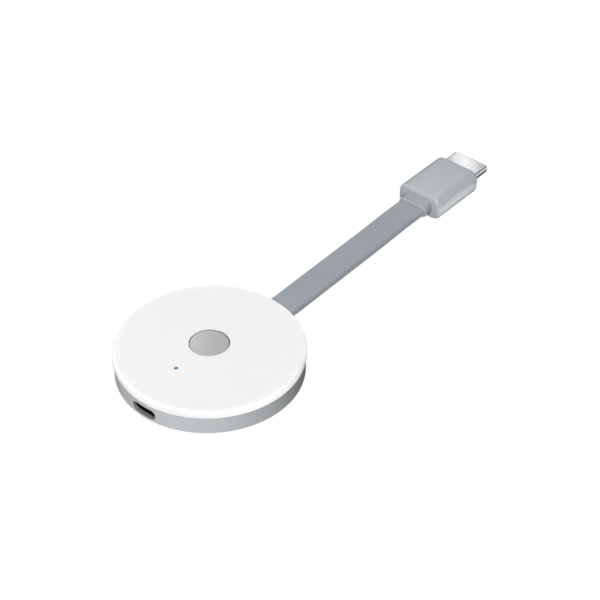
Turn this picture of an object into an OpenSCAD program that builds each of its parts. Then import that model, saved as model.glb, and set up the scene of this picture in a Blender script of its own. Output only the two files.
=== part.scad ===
/* [Disc] */
// Diameter of the white cover
cover_d = 60.4; // [57:0.2:70]
// How far the grey band stands inside the cover, all round
band_inset = 0.3; // [0:0.05:0.8]
// Height of the grey side band
band_h = 6.2; // [5.8:0.1:8]
// Height of the white rim above the band, at its sharp corner
rim_h = 2.7; // [2.3:0.1:4]
// Rise of the domed top from the rim to the middle
dome_rise = 1.35; // [0.8:0.05:2.4]
// Rounding of the cover's edge
rim_round = 1.0; // [0.4:0.1:1.4]
// Wall thickness of the cover
cover_wall = 1.4; // [1:0.1:1.6]
// Wall thickness of the base
base_wall = 1.5; // [1.2:0.1:1.8]
// Thickness of the base floor
floor_t = 1.0; // [0.9:0.1:1.6]
// Rounding under the grey band
base_round = 0.2; // [0.1:0.1:0.8]

/* [Foot pad] */
// Diameter of the rubber pad under the base
pad_d = 50; // [48.5:0.5:52]
// How far the pad stands out below the base
pad_lift = 0.2; // [0.2:0.1:0.8]
// How deep the pad sits in the base
pad_sink = 0.3; // [0.2:0.1:0.5]

/* [Button] */
// Diameter of the button hole in the cover
button_hole_d = 12.8; // [11:0.1:14]
// Gap round the button
button_gap = 0.22; // [0.15:0.01:0.35]
// Rise of the button's crown above its edge
button_rise = 0.12; // [0.08:0.01:0.3]
// How far the button goes down
button_travel = 0.35; // [0.2:0.05:0.4]
// Height of the button's hidden flange
flange_t = 0.8; // [0.6:0.1:1]
// How far the flange reaches under the cover
flange_reach = 1.2; // [0.8:0.1:1.6]

/* [Status light] */
// Distance of the light from the middle of the disc
light_y = 15; // [12:0.5:18]
// Diameter of the light window
light_d = 1.3; // [1:0.1:1.8]

/* [Power port] */
// Width of the port's metal shell
port_w = 8.94; // [8.8:0.02:9.2]
// Height of the port's metal shell
port_h = 3.26; // [3.1:0.02:3.4]
// Length of the port's metal shell
port_l = 7.3; // [6.8:0.1:8]
// Gap between the shell and the slot in the band
port_slot_gap = 0.2; // [0.1:0.05:0.3]
// How far the shell reaches into the band's wall
port_reach = 0.4; // [0:0.1:0.6]

/* [Main board] */
// Thickness of the main board
board_t = 1.0; // [0.8:0.1:1.2]
// Gap between the board's edge and the base wall
board_gap = 1.8; // [1.2:0.1:2.4]
// Distance of each screw from the base wall
screw_inset = 5.4; // [5.2:0.1:6.5]
// Diameter of the screw shanks
screw_d = 2.0; // [1.8:0.1:2.2]
// Diameter of the screw heads
screw_head_d = 3.6; // [3.4:0.1:3.8]
// Length of a screw below its head
screw_l = 5.4; // [5:0.1:6]

/* [Cable] */
// Width of the flat cable
cable_w = 10.7; // [9:0.1:10.8]
// Thickness of the flat cable
cable_t = 2.2; // [1.8:0.1:2.6]
// Length of the free cable between the disc and the plug
cable_l = 73.9; // [60:0.1:120]

/* [Plug] */
// Width of the plug body
plug_w = 17.8; // [17:0.1:20]
// Thickness of the plug body
plug_h = 9.0; // [8.6:0.1:10]
// Length of the plug body
plug_l = 22.6; // [21:0.1:26]
// Rounding of the plug body along its length
plug_round = 3.4; // [2.4:0.1:3.8]
// Fillet round the two ends of the plug body
plug_end_round = 1.4; // [0.6:0.1:2]
// Width of the neck that the cable enters
neck_w = 11.1; // [10.9:0.1:13]
// Thickness of the neck at the cable
neck_h = 3.4; // [3.2:0.1:4.4]
// Length of the neck
neck_l = 3.5; // [2.5:0.1:6]
// How much higher the neck is at the body
neck_rise = 1.5; // [0.2:0.1:2]
// How much lower the neck is at the body
neck_fall = 0.9; // [0.2:0.1:1.2]
// How far the lip at the end of the neck stands out
lip_out = 0.3; // [0.1:0.05:0.6]
// Length of the lip
lip_l = 0.6; // [0.4:0.1:1.4]
// Width of the metal shell
shell_w = 13.9; // [13.8:0.02:14]
// Height of the metal shell
shell_h = 4.45; // [4.4:0.01:4.55]
// Thickness of the metal shell
shell_t = 0.35; // [0.25:0.05:0.4]
// How far the metal shell stands out of the body
shell_out = 7.8; // [6:0.1:12]

/* [Hidden] */
$fn = 64;

// Overrun of every cut past the face that it opens
over = 0.5;
// Rounding of the foot pad's lower edge
pad_round = 0.15;
// Space between pieces that are laid into each other
seat_gap = 0.05;
// Running clearance of pins in their bores
run_gap = 0.04;

// Heights of the disc, from the surface that it stands on
cover_r = cover_d / 2;
band_r = cover_r - band_inset;
base_z = pad_lift;
seam_z = base_z + band_h;
rim_z = seam_z + rim_h;
top_z = rim_z + dome_rise;
floor_z = base_z + floor_t;
inner_r = band_r - base_wall;
dome_r = (cover_r * cover_r + dome_rise * dome_rise) / (2 * dome_rise);
dome_z = top_z - dome_r;
function dome_under(r, depth) = dome_z + sqrt(pow(dome_r - depth, 2) - r * r);

// The lip that centres the cover in the base
lip_gap = 0.1;
cover_lip_t = 1.0;
cover_lip_h = 1.2;
cover_lip_r = inner_r - lip_gap;
inner_round_share = 0.1;

// Power port: its front passes a flat pad and reaches into the band's wall
port_pad_t = 0.65;
port_pad_side = 1.8;
port_pad_drop = 0.3;
port_pad_r = inner_r - port_pad_t;
port_front = inner_r + port_reach;
port_lift = 0.05;
port_z = floor_z + port_lift + port_h / 2;
port_wall = 0.3;
slot_w = port_w + 2 * port_slot_gap;
slot_h = port_h + 2 * port_slot_gap;

// The port's legs, and the tongue with its contacts
leg_w = 1.0;
leg_t = 0.3;
leg_gap = 0.1;
leg_shares = [0.5, 0.9];
leg_x = port_w / 2 - leg_t;
leg_up = 0.3;
leg_down = 1.0;
tongue_w = 6.7;
tongue_t = 0.7;
tongue_l = 5.2;
tongue_back = 1.6;
pin_w = 0.25;
pin_t = 0.06;
pin_l = 3.6;
pin_step = 0.5;
pin_row = 12;
pin_front = 0.9;
tongue_front = -port_front + port_l - port_wall - tongue_back - tongue_l;

// Main board, with its own pieces above and below it
board_z = port_z + port_h / 2;
board_top = board_z + board_t;
board_r = inner_r - board_gap;
screw_ring = inner_r - screw_inset;
screw_angles = [45, 135, 225, 315];
board_hole_gap = 0.2;

// Screws go up through the base and the board into the cover
head_t = 1.1;
head_gap = 0.3;
boss_wall = 1.1;
seat_z = base_z + pad_sink + seat_gap + head_t + seat_gap;
base_boss_r = screw_head_d / 2 + head_gap + boss_wall;
cover_boss_wall = 1.3;
cover_boss_r = screw_d / 2 + cover_boss_wall;
pilot_deep = 0.3;
cross_w = 0.5;
cross_deep = 0.5;

// Button, cap and post
button_r = button_hole_d / 2 - button_gap;
button_edge = 0.25;
button_edge_z = dome_under(button_r, 0);
crown_r = (button_r * button_r + button_rise * button_rise) / (2 * button_rise);
crown_z = button_edge_z + button_rise - crown_r;
button_skin = 1.5;
flange_gap = 0.1;
flange_r = button_hole_d / 2 + flange_reach;
flange_top = dome_under(flange_r, cover_wall) - flange_gap;
button_side_wall = 1.2;
button_well_r = button_r - button_side_wall;
post_r = 1.5;
guide_gap = 0.2;
guide_t = 0.9;
guide_h = 1.3;

// Push switch under the button
case_w = 5.2;
case_h = 1.6;
case_wall = 0.35;
case_floor = 0.2;
plunger_r = 1.3;
plunger_flange_r = 1.75;
plunger_flange_t = 0.3;
plunger_out = 0.6;
case_bore_r = plunger_r + run_gap;
plunger_side_gap = 0.15;
case_room_r = plunger_flange_r + plunger_side_gap;
case_top = board_top + case_h;
plunger_top = case_top + plunger_out;
plunger_flange_z = case_top - case_wall - plunger_flange_t - seat_gap;
post_gap = 0.05;
snap_t = 0.12;
snap_rise = 0.25;
snap_side_gap = 0.1;
snap_r = case_room_r - snap_side_gap;
snap_flat_r = 0.7;

// Status light and its clear pipe
led_w = 1.6;
led_l = 0.8;
led_h = 0.6;
pipe_gap = 0.12;
pipe_flange_reach = 0.6;
pipe_flange_r = light_d / 2 + pipe_flange_reach;
pipe_flange_t = 0.6;
pipe_r = light_d / 2 - run_gap;

// Chips and small pieces on the board
video_w = 13;
video_h = 0.9;
radio_w = 7;
radio_h = 0.9;
can_w = 14;
can_l = 12;
can_h = 1.6;
can_t = 0.2;
can_shares = [-0.49, 0.13];
can_place = can_shares * board_r;
can_hole_d = 0.9;
can_hole_step = 2.4;
memory_w = 8;
memory_l = 10;
memory_h = 0.9;
memory_shares = [0.43, 0.15];
memory_place = memory_shares * board_r;
crystal_w = 3.2;
crystal_l = 2.5;
crystal_h = 0.7;
crystal_shares = [0, 0.42];
crystal_place = crystal_shares * board_r;
coil_w = 4;
coil_h = 1.8;
coil_gap = 0.3;
coil_share = 0.25;
coil_x = coil_share * board_r;
coil_y = -port_front + port_l + coil_gap + coil_w / 2;
coil_places = [[-coil_x, coil_y], [coil_x, coil_y]];
part_round = 0.3;
leads_t = 0.15;
cap_w = 1.2;
cap_l = 0.8;
cap_h = 0.7;
cap_row = 5;
cap_step = 1.8;
cap_shares = [[0.28, -0.135], [-0.39, -0.23], [-0.135, 0.54]];
cap_places = cap_shares * board_r;
ohm_w = 1.0;
ohm_l = 0.6;
ohm_h = 0.35;
ohm_row = 6;
ohm_step = 1.5;
ohm_shares = [[0.28, -0.245], [-0.39, -0.34], [0.28, 0.455]];
ohm_places = ohm_shares * board_r;

// Stamped antennas at the board's two side edges
antenna_l = 11;
antenna_h = 1.6;
antenna_t = 0.25;
antenna_top_w = 1.6;
antenna_edge = 2.2;
antenna_slit = 0.5;
antenna_slits = 4;
antenna_foot = 0.8;

// Heat spreader on the floor and the pad between it and the chip
spreader_w = 24;
spreader_l = 19;
spreader_t = 0.8;
spreader_round = 2;
spreader_z = floor_z;
thermal_w = 12;

// Cable anchor in the wall of the base
anchor_side = 0.4;
anchor_skin = 0.35;
anchor_w = cable_w + 2 * anchor_side;
anchor_h = cable_t + 2 * anchor_skin;
anchor_z = (floor_z + board_z) / 2;
anchor_flange_reach = 1.8;
anchor_flange_w = cable_w + 2 * anchor_flange_reach;
anchor_flange_h = board_z - floor_z - 2 * seat_gap;
anchor_flange_l = 3.0;
anchor_half = anchor_flange_w / 2;
anchor_wall_gap = 0.1;
anchor_wall_y = sqrt(inner_r * inner_r - anchor_half * anchor_half);
anchor_flange_y = anchor_wall_y - anchor_wall_gap - anchor_flange_l;
anchor_face_half = anchor_w / 2;
anchor_face = sqrt(band_r * band_r - anchor_face_half * anchor_face_half);
anchor_slot_gap = 0.05;
stop_w = 2.2;
stop_t = 1.2;
stop_h = 2.4;

// Wires from the anchor to the board
wire_d = 0.45;
wire_count = 9;
wire_step = cable_w / (wire_count + 1);
wire_run = 1.6;
wire_bend = 1.0;
wire_turn = 90;
solder_d = 0.75;
solder_h = 0.3;

// The plug lies flat on the surface
plug_z = plug_h / 2;
neck_round_share = 0.45;
neck_drop = 0.25;
neck_z = plug_z - neck_drop;
neck_y = anchor_face + cable_l;
plug_y = neck_y + neck_l;
plug_end = plug_y + plug_l;
shell_end = plug_end + shell_out;
shell_in = 7;
shell_y = plug_end - shell_in;
shell_low_w = 10.2;
shell_side_h = 2.5;
shell_corner = 0.45;
liner_back = 1.0;
slit_w = 11.6;
slit_h = 1.6;
contact_w = 0.4;
contact_t = 0.3;
contact_step = 1.0;
contact_front = 0.6;
contact_rows = [[1, 10], [-1, 9]];
plug_board_w = 12;
plug_board_l = 8.5;
plug_board_t = slit_h - 2 * contact_t;
contact_back = 3.5;
block_w = 14.4;
block_h = 6.2;
block_l = 12.4;
block_round = 1.0;

// Route of the free cable: shares of its length, and shares of its small climb
route_shares = [0, 0.13, 0.3, 0.5, 0.7, 0.87, 1];
climb_shares = [0, 0, 0.2, 0.4, 0.62, 1, 1];
cable_sides = 12;

// A flat outline with round corners, made of true arcs
module rounded(w, h, r) {
  square([w - 2 * r, h], center = true);
  square([w, h - 2 * r], center = true);
  for (x = [-1, 1]) {
    for (y = [-1, 1]) {
      translate([x * (w / 2 - r), y * (h / 2 - r)]) circle(r);
    }
  }
}

// A slot outline with full round ends
module slot_outline(w, h) {
  square([w - h, h], center = true);
  for (x = [-1, 1]) {
    translate([x * (w - h) / 2, 0]) circle(h / 2);
  }
}

// Puts a flat outline upright and draws it out along the length of the part
module along_y(from, length) {
  translate([0, from + length, 0]) rotate([90, 0, 0]) linear_extrude(length) children();
}

// Puts pieces at the four screws
module at_screws() {
  for (a = screw_angles) {
    rotate([0, 0, a]) translate([screw_ring, 0, 0]) children();
  }
}

// Outline of the cover, turned about the middle: side, tangent rounding and dome
module cover_outline(inset) {
  r = cover_r - inset;
  ball = dome_r - inset;
  curve = max(rim_round - inset, inner_round_share * rim_round);
  cx = r - curve;
  rise = sqrt(pow(ball - curve, 2) - cx * cx);
  cz = dome_z + rise;
  ux = cx / (ball - curve);
  uz = rise / (ball - curve);
  reach = 4 * rim_round;
  difference() {
    intersection() {
      translate([0, seam_z]) square([r, top_z]);
      translate([0, dome_z]) circle(ball, $fn = 256);
    }
    difference() {
      polygon([
        [cx, cz],
        [cx + reach * ux, cz + reach * uz],
        [cx + reach, cz + reach],
        [cx + reach, cz]
      ]);
      translate([cx, cz]) circle(curve);
    }
  }
}

module cover_solid(inset) {
  rotate_extrude($fn = 180) cover_outline(inset);
}

// The cover with its lip, screw bosses, button guide and light hole
module top_cover() color([0.95, 0.95, 0.95]) {
  difference() {
    union() {
      rotate_extrude($fn = 180) {
        difference() {
          cover_outline(0);
          difference() {
            cover_outline(cover_wall);
            square([cover_r, seam_z + cover_wall]);
          }
          translate([0, seam_z - over]) {
            square([cover_lip_r - cover_lip_t, cover_wall + 2 * over]);
          }
        }
        translate([cover_lip_r - cover_lip_t, seam_z - cover_lip_h]) {
          square([cover_lip_t, cover_lip_h + over]);
        }
      }
      intersection() {
        union() {
          at_screws() translate([0, 0, board_top]) cylinder(r = cover_boss_r, h = top_z);
          translate([0, 0, flange_top - guide_h]) cylinder(
            r = flange_r + guide_gap + guide_t, h = top_z
          );
        }
        union() {
          cover_solid(cover_wall / 2);
          cylinder(r = cover_lip_r - cover_lip_t, h = seam_z + over);
        }
      }
    }
    translate([0, 0, flange_top - guide_h - over]) cylinder(
      r = flange_r + guide_gap, h = guide_h + flange_gap + over
    );
    cylinder(r = button_hole_d / 2, h = top_z + over);
    translate([0, -light_y, 0]) {
      cylinder(r = light_d / 2, h = top_z + over);
    }
    at_screws() translate([0, 0, board_top - over]) cylinder(
      r = screw_d / 2 + run_gap, h = seat_z + screw_l + pilot_deep - board_top + over
    );
    translate([-slot_w / 2 - port_pad_side - over, -cover_r, seam_z - cover_lip_h - over]) {
      cube([slot_w + 2 * port_pad_side + 2 * over, cover_r - port_pad_r + 2 * over,
        cover_lip_h + over]);
    }
    translate([-anchor_flange_w / 2 - over, anchor_flange_y, seam_z - cover_lip_h - over]) {
      cube([anchor_flange_w + 2 * over, cover_r, cover_lip_h + over]);
    }
  }
}

// Outline of the base tub: rounded lower edge, floor, wall and pad recess
module base_outline() {
  difference() {
    union() {
      translate([0, base_z]) square([band_r - base_round, base_round]);
      translate([0, base_z + base_round]) square([band_r, band_h - base_round]);
      translate([band_r - base_round, base_z + base_round]) circle(base_round);
    }
    translate([0, floor_z]) square([inner_r, band_h]);
    translate([0, base_z - over]) square([pad_d / 2 + seat_gap, pad_sink + over]);
  }
}

// The base tub with bosses, port pad, cable slot and stops
module base_housing() color([0.71, 0.72, 0.73]) {
  difference() {
    union() {
      rotate_extrude($fn = 180) base_outline();
      at_screws() translate([0, 0, base_z + pad_sink]) {
        cylinder(r = base_boss_r, h = board_z - base_z - pad_sink);
      }
      intersection() {
        translate([-slot_w / 2 - port_pad_side, -inner_r - base_wall / 2, floor_z - floor_t / 2]) {
          cube([slot_w + 2 * port_pad_side, port_pad_t + base_wall / 2,
            seam_z - port_pad_drop - floor_z + floor_t / 2]);
        }
        cylinder(r = band_r - base_wall / 2, h = seam_z);
      }
      for (x = [-1, 1]) {
        translate([x * (anchor_half - stop_w / 2) - stop_w / 2,
          anchor_flange_y - seat_gap - stop_t, floor_z - floor_t / 2]) {
          cube([stop_w, stop_t, stop_h + floor_t / 2]);
        }
      }
    }
    translate([0, 0, port_z]) {
      along_y(-band_r - over, base_wall + port_pad_t + 2 * over) slot_outline(slot_w, slot_h);
    }
    translate([0, 0, anchor_z]) {
      along_y(inner_r - base_wall, 3 * base_wall) {
        slot_outline(anchor_w + 2 * anchor_slot_gap, anchor_h + 2 * anchor_slot_gap);
      }
    }
    at_screws() {
      cylinder(r = screw_head_d / 2 + head_gap, h = seat_z);
      cylinder(r = screw_d / 2 + board_hole_gap, h = board_z + over);
    }
  }
}

// Round rubber pad that the disc stands on, rounded below
module foot_pad() color([0.25, 0.26, 0.27]) {
  rotate_extrude($fn = 120) {
    translate([0, pad_round]) square([pad_d / 2, pad_lift + pad_sink - pad_round]);
    square([pad_d / 2 - pad_round, pad_round]);
    intersection() {
      translate([pad_d / 2 - pad_round, pad_round]) circle(pad_round, $fn = 48);
      square([pad_d / 2, pad_round]);
    }
  }
}

// Four screws with cross recesses
module screws() color([0.6, 0.6, 0.62]) {
  at_screws() translate([0, 0, seat_z - head_t]) {
    difference() {
      union() {
        cylinder(r = screw_head_d / 2, h = head_t);
        cylinder(r = screw_d / 2, h = head_t + screw_l - screw_d / 2);
        translate([0, 0, head_t + screw_l - screw_d / 2]) {
          cylinder(r1 = screw_d / 2, r2 = screw_d / 6, h = screw_d / 2);
        }
      }
      for (a = [0, 90]) {
        rotate([0, 0, a]) translate([-screw_head_d / 3, -cross_w / 2, -over]) {
          cube([screw_head_d * 2 / 3, cross_w, over + cross_deep]);
        }
      }
    }
  }
}

// The button cap: dome top with a rounded edge, flange, well and post
module button_outline() {
  difference() {
    union() {
      intersection() {
        translate([0, flange_top - flange_t]) square([button_r, top_z]);
        translate([0, crown_z]) circle(crown_r, $fn = 256);
      }
      translate([0, flange_top - flange_t]) square([flange_r, flange_t]);
    }
    difference() {
      translate([button_r - button_edge, button_edge_z - button_edge]) square(2 * button_edge);
      translate([button_r - button_edge, button_edge_z - button_edge]) circle(button_edge);
    }
    translate([post_r, flange_top - flange_t - over]) {
      square([button_well_r - post_r, over + flange_t + top_z - flange_top - button_skin]);
    }
  }
  translate([0, plunger_top + post_gap]) square([post_r, flange_top - plunger_top - post_gap]);
}

module button() color([0.72, 0.73, 0.74]) {
  rotate_extrude($fn = 96) button_outline();
}

// Clear pipe that carries the light up to the cover
module light_pipe() color([0.2, 0.57, 0.77]) {
  under = dome_under(light_y + pipe_flange_r, cover_wall);
  low = board_top + led_h + pipe_gap;
  translate([0, -light_y, 0]) {
    translate([0, 0, low]) cylinder(r = pipe_r, h = dome_under(light_y + pipe_r, 0) - low);
    translate([0, 0, under - pipe_flange_t - seat_gap]) {
      cylinder(r = pipe_flange_r, h = pipe_flange_t);
    }
  }
}

// The main board with its screw holes and the slots for the port's legs
module port_legs(extra) {
  for (x = [-1, 1]) {
    for (s = leg_shares) {
      translate([x * (leg_x + leg_t / 2) - leg_t / 2 - extra,
        -port_front + s * port_l - leg_w / 2 - extra, board_z - leg_down]) {
        cube([leg_t + 2 * extra, leg_w + 2 * extra, leg_down + board_t + leg_up]);
      }
    }
  }
}

module main_board() color([0.10, 0.30, 0.18]) {
  difference() {
    translate([0, 0, board_z]) linear_extrude(board_t) {
      difference() {
        circle(board_r, $fn = 180);
        at_screws() circle(screw_d / 2 + board_hole_gap, $fn = 32);
      }
    }
    port_legs(leg_gap);
  }
}

// A chip: a flat block with rounded corners
module chip(w, l, h, z, place) {
  translate([place.x, place.y, z]) linear_extrude(h) rounded(w, l, part_round);
}

module video_chip() color([0.12, 0.12, 0.13]) {
  chip(video_w, video_w, video_h, board_z - video_h, [0, 0]);
}

module memory_chip() color([0.13, 0.13, 0.14]) {
  chip(memory_w, memory_l, memory_h, board_top, memory_place);
}

module radio_chip() color([0.14, 0.14, 0.15]) {
  chip(radio_w, radio_w, radio_h, board_top, can_place);
}

// Shield can over the radio chip, with rows of small holes in its lid
module radio_shield() color([0.78, 0.78, 0.80]) {
  translate([can_place.x, can_place.y, board_top]) {
    difference() {
      linear_extrude(can_h) rounded(can_w, can_l, 2 * part_round);
      translate([0, 0, -over]) linear_extrude(can_h + over - can_t) {
        rounded(can_w - 2 * can_t, can_l - 2 * can_t, part_round);
      }
      for (x = [-2 : 2]) {
        for (y = [-1 : 1]) {
          translate([x * can_hole_step, y * can_hole_step, can_h - can_t - over]) {
            cylinder(d = can_hole_d, h = can_t + 2 * over, $fn = 24);
          }
        }
      }
    }
  }
}

// Two stamped antennas: an upright strip with slits, a top flap and two feet
module antenna() {
  difference() {
    union() {
      translate([0, -antenna_l / 2, 0]) cube([antenna_t, antenna_l, antenna_h]);
      translate([-antenna_top_w + antenna_t, -antenna_l / 2, antenna_h - antenna_t]) {
        cube([antenna_top_w, antenna_l, antenna_t]);
      }
      for (y = [-1, 1]) {
        translate([-antenna_foot, y * (antenna_l / 2 - antenna_foot) - antenna_foot / 2, 0]) {
          cube([antenna_foot + antenna_t, antenna_foot, antenna_t]);
        }
      }
    }
    for (k = [1 : antenna_slits]) {
      translate([-antenna_top_w, (k / (antenna_slits + 1) - 1 / 2) * antenna_l - antenna_slit / 2,
        antenna_h / 3]) {
        cube([antenna_top_w - antenna_t, antenna_slit, antenna_h]);
      }
    }
  }
}

module antennas() color([0.83, 0.74, 0.52]) {
  for (a = [0, 180]) {
    rotate([0, 0, a]) translate([board_r - antenna_edge, 0, board_top]) antenna();
  }
}

module crystal() color([0.80, 0.80, 0.82]) {
  chip(crystal_w, crystal_l, crystal_h, board_top, crystal_place);
}

// Power inductors: a square block with a round top face and end plates
module power_inductors() color([0.30, 0.30, 0.31]) {
  for (p = coil_places) {
    translate([p.x, p.y, board_top]) {
      linear_extrude(coil_h - leads_t) rounded(coil_w, coil_w, 2 * part_round);
      translate([0, 0, coil_h - leads_t]) cylinder(d = coil_w - 2 * part_round, h = leads_t);
    }
  }
}

// Rows of small ceramic capacitors and resistors
module small_parts(places, count, step, w, l, h) {
  for (p = places) {
    for (k = [0 : count - 1]) {
      translate([p.x + k * step - w / 2, p.y - l / 2, board_top]) cube([w, l, h]);
    }
  }
}

module capacitors() color([0.66, 0.55, 0.42]) {
  small_parts(cap_places, cap_row, cap_step, cap_w, cap_l, cap_h);
}

module resistors() color([0.10, 0.10, 0.11]) {
  small_parts(ohm_places, ohm_row, ohm_step, ohm_w, ohm_l, ohm_h);
}

module status_led() color([0.30, 0.62, 0.90]) {
  translate([-led_w / 2, -light_y - led_l / 2, board_top]) cube([led_w, led_l, led_h / 2]);
  translate([0, -light_y, board_top + led_h / 2]) cylinder(d = led_l, h = led_h / 2);
}

// Switch case with the room for the plunger's flange and the snap dome
module switch_case() color([0.15, 0.15, 0.16]) {
  difference() {
    translate([0, 0, board_top]) linear_extrude(case_h) rounded(case_w, case_w, 2 * part_round);
    translate([0, 0, board_top + case_floor]) {
      cylinder(r = case_room_r, h = case_h - case_floor - case_wall);
      cylinder(r = case_bore_r, h = case_h);
    }
  }
}

module switch_plunger() color([0.85, 0.84, 0.80]) {
  translate([0, 0, plunger_flange_z]) {
    cylinder(r = plunger_flange_r, h = plunger_flange_t);
    cylinder(r = plunger_r, h = plunger_top - plunger_flange_z);
  }
}

// Thin metal dome that pushes the plunger back up: flat middle, sloping skirt
module snap_dome() color([0.80, 0.80, 0.78]) {
  translate([0, 0, board_top + case_floor]) rotate_extrude() polygon([
    [0, snap_rise - snap_t],
    [0, snap_rise],
    [snap_flat_r, snap_rise],
    [snap_r, snap_t],
    [snap_r, 0],
    [snap_r - snap_t, 0],
    [snap_flat_r, snap_rise - snap_t]
  ]);
}

// Metal plate on the floor that spreads the chip's heat
module heat_spreader() color([0.82, 0.83, 0.84]) {
  translate([0, 0, spreader_z]) linear_extrude(spreader_t) {
    rounded(spreader_w, spreader_l, spreader_round);
  }
}

module thermal_pad() color([0.55, 0.62, 0.72]) {
  low = spreader_z + spreader_t;
  translate([0, 0, low]) linear_extrude(board_z - video_h - low) {
    rounded(thermal_w, thermal_w, part_round);
  }
}

// Power port: drawn metal shell with a closed back and four legs
module port_shell() color([0.76, 0.77, 0.79]) {
  difference() {
    union() {
      translate([0, 0, port_z]) along_y(-port_front, port_l) slot_outline(port_w, port_h);
      difference() {
        port_legs(0);
        translate([0, 0, port_z]) along_y(-port_front, port_l) {
          slot_outline(port_w - port_wall, port_h - port_wall);
        }
      }
    }
    translate([0, 0, port_z]) along_y(-port_front - over, port_l + over - port_wall) {
      slot_outline(port_w - 2 * port_wall, port_h - 2 * port_wall);
    }
  }
}

module port_tongue() color([0.11, 0.11, 0.12]) {
  translate([0, 0, port_z]) {
    along_y(tongue_front, tongue_l + tongue_back) rounded(tongue_w, tongue_t, tongue_t / 3);
    along_y(tongue_front + tongue_l, tongue_back) {
      slot_outline(port_w - 2 * port_wall, port_h - 2 * port_wall);
    }
  }
}

module port_contacts() color([0.86, 0.70, 0.36]) {
  for (k = [0 : pin_row - 1]) {
    for (z = [-1, 1]) {
      translate([(k - (pin_row - 1) / 2) * pin_step - pin_w / 2, tongue_front + pin_front,
        port_z + z * (tongue_t + pin_t) / 2 - pin_t / 2]) {
        cube([pin_w, pin_l, pin_t]);
      }
    }
  }
}

// Cable anchor: a flange held inside the wall and a neck that fills the slot
module cable_anchor() color([0.60, 0.62, 0.64]) {
  translate([0, 0, anchor_z]) {
    along_y(anchor_flange_y, anchor_flange_l) {
      rounded(anchor_flange_w, anchor_flange_h, anchor_flange_h / 4);
    }
    along_y(anchor_flange_y, anchor_face - anchor_flange_y) {
      slot_outline(anchor_w, anchor_h);
    }
  }
}

// Wires from the anchor's back, each bent up to a soldered end under the board
module cable_wires() color([0.78, 0.46, 0.28]) {
  drop = board_z - anchor_z;
  for (k = [1 : wire_count]) {
    translate([(k - (wire_count + 1) / 2) * wire_step, anchor_flange_y - wire_run, anchor_z]) {
      rotate([-90, 0, 0]) cylinder(d = wire_d, h = wire_run);
      translate([0, 0, wire_bend]) rotate([0, 90, 0]) {
        rotate([180, 0, 0]) rotate_extrude(angle = wire_turn) translate([wire_bend, 0]) {
          circle(d = wire_d);
        }
      }
      translate([0, -wire_bend, wire_bend]) cylinder(d = wire_d, h = drop - wire_bend);
      translate([0, -wire_bend, drop - solder_h]) cylinder(d = solder_d, h = solder_h);
    }
  }
}

// The free flat cable: one swept tube whose section has two round edges
function cable_ring(k) = [
  for (s = [0 : cable_sides - 1])
    let (
      half = cable_sides / 2,
      side = s < half ? 1 : -1,
      turn = (s % half) / (half - 1) * 180 - 90,
      a = side > 0 ? turn : turn + 180
    )
    [
      side * (cable_w - cable_t) / 2 + cable_t / 2 * cos(a),
      anchor_face + route_shares[k] * cable_l,
      anchor_z + climb_shares[k] * (neck_z - anchor_z) + cable_t / 2 * sin(a)
    ]
];

module flat_cable() color([0.62, 0.64, 0.66]) {
  rings = len(route_shares);
  points = [for (k = [0 : rings - 1]) for (p = cable_ring(k)) p];
  walls = [
    for (k = [0 : rings - 2])
      for (s = [0 : cable_sides - 1])
        let (
          n = (s + 1) % cable_sides,
          a = k * cable_sides + s,
          b = k * cable_sides + n,
          c = (k + 1) * cable_sides + n,
          d = (k + 1) * cable_sides + s
        )
        each [[a, c, b], [a, d, c]]
  ];
  near = [for (s = [1 : cable_sides - 2]) [0, s, s + 1]];
  last = (rings - 1) * cable_sides;
  far = [for (s = [1 : cable_sides - 2]) [last, last + s + 1, last + s]];
  polyhedron(points = points, faces = concat(walls, near, far));
}

// Outline of the metal plug shell: flat top, upright sides, drawn-in lower half
module shell_outline(inset) {
  w = shell_w / 2 - inset;
  h = shell_h / 2 - inset;
  low = shell_low_w / 2 - inset;
  r = shell_corner;
  difference() {
    polygon([
      [-w, h], [-w, shell_h / 2 - shell_side_h], [-low, -h],
      [low, -h], [w, shell_h / 2 - shell_side_h], [w, h]
    ]);
    for (x = [-1, 1]) {
      difference() {
        translate([x * w - r, h - r]) square(2 * r);
        translate([x * (w - r), h - r]) circle(r);
        translate([x > 0 ? w - 2 * r : r - w, h - 2 * r]) square([r, 4 * r]);
      }
    }
  }
}

// Outer form of the inner block, and of its room in the body
module block_solid() {
  translate([0, 0, plug_z]) along_y(shell_y - block_l, block_l) {
    rounded(block_w, block_h, block_round);
  }
}

// A post with filleted ends: one long edge of the plug body
module edge_post(r, length, fillet) {
  rotate_extrude() {
    square([r - fillet, length]);
    translate([0, fillet]) square([r, length - 2 * fillet]);
    for (y = [fillet, length - fillet]) {
      translate([r - fillet, y]) circle(fillet);
    }
  }
}

// A block whose long edges are round and whose ends have a fillet all round
module filleted_block(w, h, length, r, fillet) {
  for (x = [-1, 1]) {
    for (z = [-1, 1]) {
      translate([x * (w / 2 - r), 0, z * (h / 2 - r)]) rotate([-90, 0, 0]) {
        edge_post(r, length, fillet);
      }
    }
  }
  translate([-w / 2 + r, length / 2, 0]) rotate([90, 0, 90]) linear_extrude(w - 2 * r) {
    rounded(length, h, fillet);
  }
  translate([0, length / 2, -h / 2 + r]) linear_extrude(h - 2 * r) rounded(w, length, fillet);
}

// A tall block with round corners that leans by an angle about the lip's edge
module leaning_block(angle, edge, middle) {
  translate([0, neck_y, edge]) rotate([angle, 0, 0]) translate([0, 0, middle]) {
    along_y(-plug_h, neck_l + 2 * plug_h) rounded(neck_w, plug_h, neck_h * neck_round_share);
  }
}

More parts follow.
